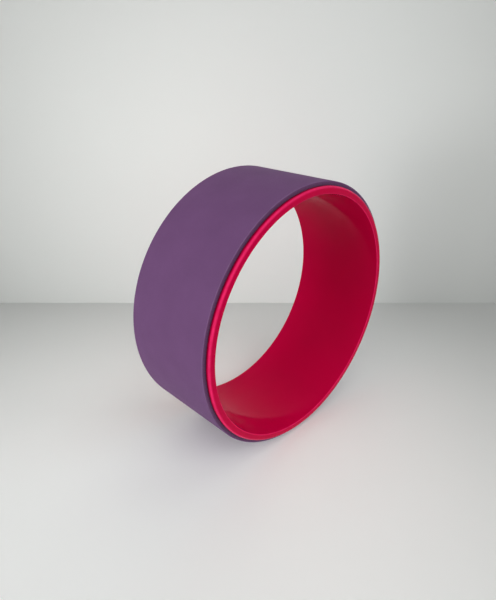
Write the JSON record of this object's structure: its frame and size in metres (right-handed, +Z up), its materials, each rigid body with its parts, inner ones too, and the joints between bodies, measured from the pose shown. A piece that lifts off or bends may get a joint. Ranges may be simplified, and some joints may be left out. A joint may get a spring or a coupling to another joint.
{
  "type": "yoga wheel",
  "caption": "Open-centred yoga wheel: a rigid glossy plastic hoop with a raised lip at each end and a cushioned foam tread bonded between the lips.",
  "frame": {"origin": "centre of the bore, on the wheel's axis and midway between the two end faces", "axes": "+Y along the wheel's axis, +Z up as the wheel stands on its tread, +X the way that it rolls"},
  "size_m": [0.33, 0.1316, 0.3298],
  "materials": {
    "hoop_plastic": "gloss",
    "tread_foam": "matte",
    "adhesive": "satin"
  },
  "bodies": {
    "root": {"hoop": "hoop_plastic", "adhesive_film": "adhesive", "foam_tread": "tread_foam", "seam_bond": "adhesive"}
  },
  "joints": []
}
